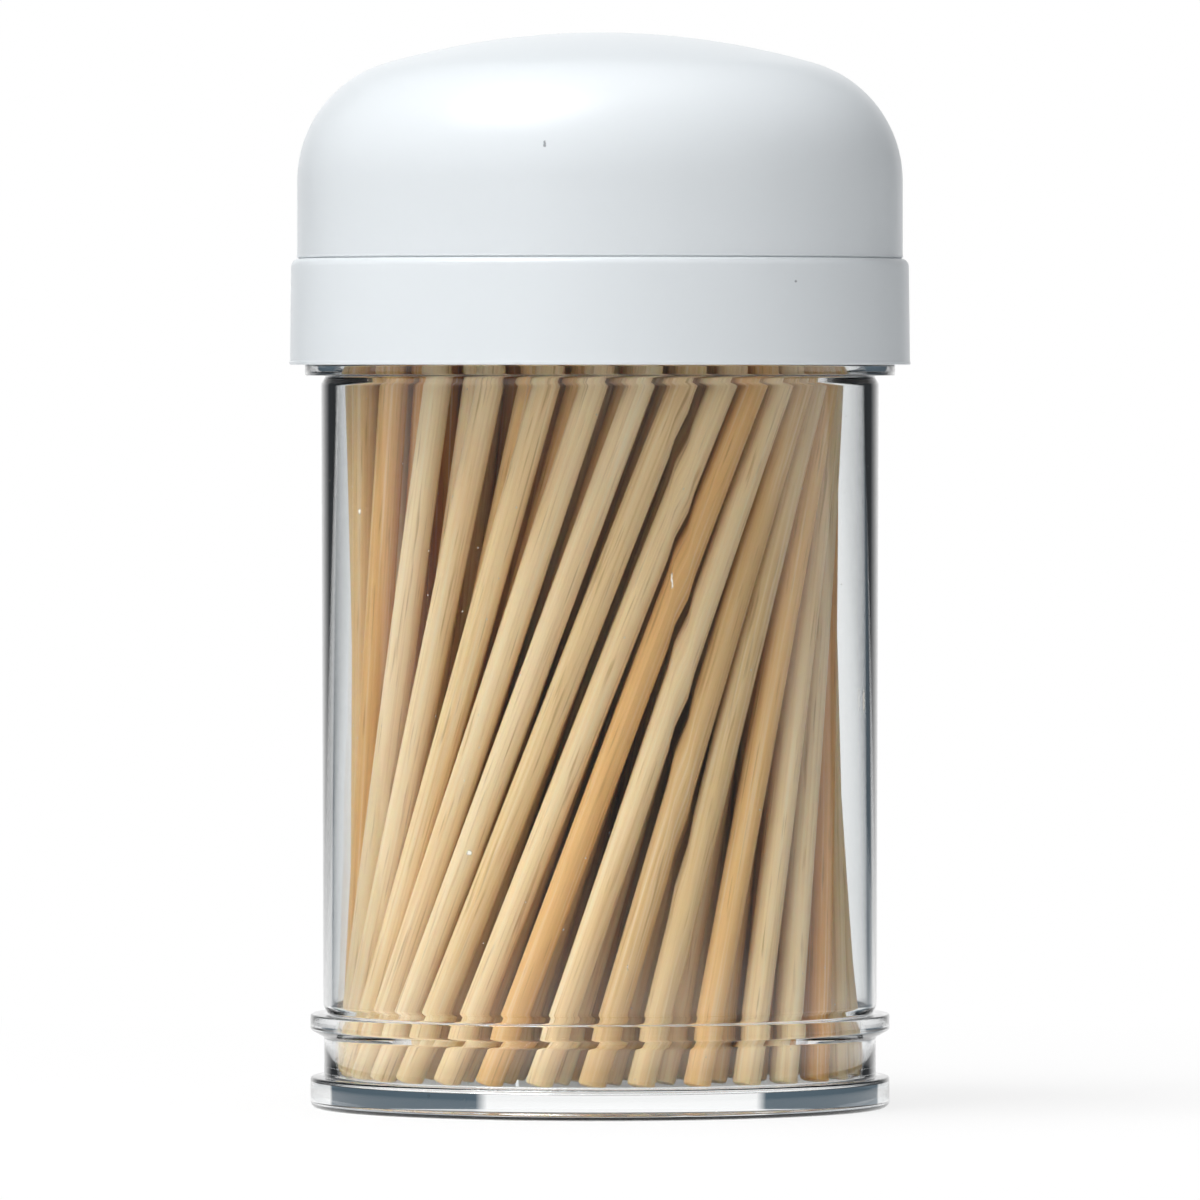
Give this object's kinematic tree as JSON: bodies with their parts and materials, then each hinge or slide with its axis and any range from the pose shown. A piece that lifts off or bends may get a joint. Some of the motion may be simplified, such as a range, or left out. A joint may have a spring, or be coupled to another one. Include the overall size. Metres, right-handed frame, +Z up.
{
  "type": "toothpick dispenser",
  "caption": "Round clear pot with a ribbed base, filled with bamboo toothpicks, closed by a white collar with a dispensing hole in its deck and a domed lid that lifts off.",
  "frame": {"origin": "middle of the round base, on the surface it stands on", "axes": "+Z up along the pot's own axis, through the middle of the lid; -Y towards the front, the side the picture shows"},
  "size_m": [0.0456, 0.0456, 0.079],
  "materials": {
    "clear_plastic": "clear moulded polystyrene, glossy",
    "white_plastic": "cool white moulded polypropylene, satin gloss",
    "bamboo": "plain split bamboo, dry and matt"
  },
  "bodies": {
    "jar": {"jar": "clear_plastic", "toothpicks_outer_row": "bamboo", "toothpicks_second_row": "bamboo", "toothpicks_third_row": "bamboo", "toothpicks_fourth_row": "bamboo", "toothpicks_core": "bamboo"},
    "collar": {"collar": "white_plastic"},
    "lid": {"domed_lid": "white_plastic"}
  },
  "joints": [
    {"name": "collar_pull", "type": "slide", "parent": "jar", "child": "collar", "axis": [0, 0, 1], "range_m": [0, 0.02]},
    {"name": "lid_lift", "type": "slide", "parent": "collar", "child": "lid", "axis": [0, 0, 1], "range_m": [0, 0.02]}
  ]
}
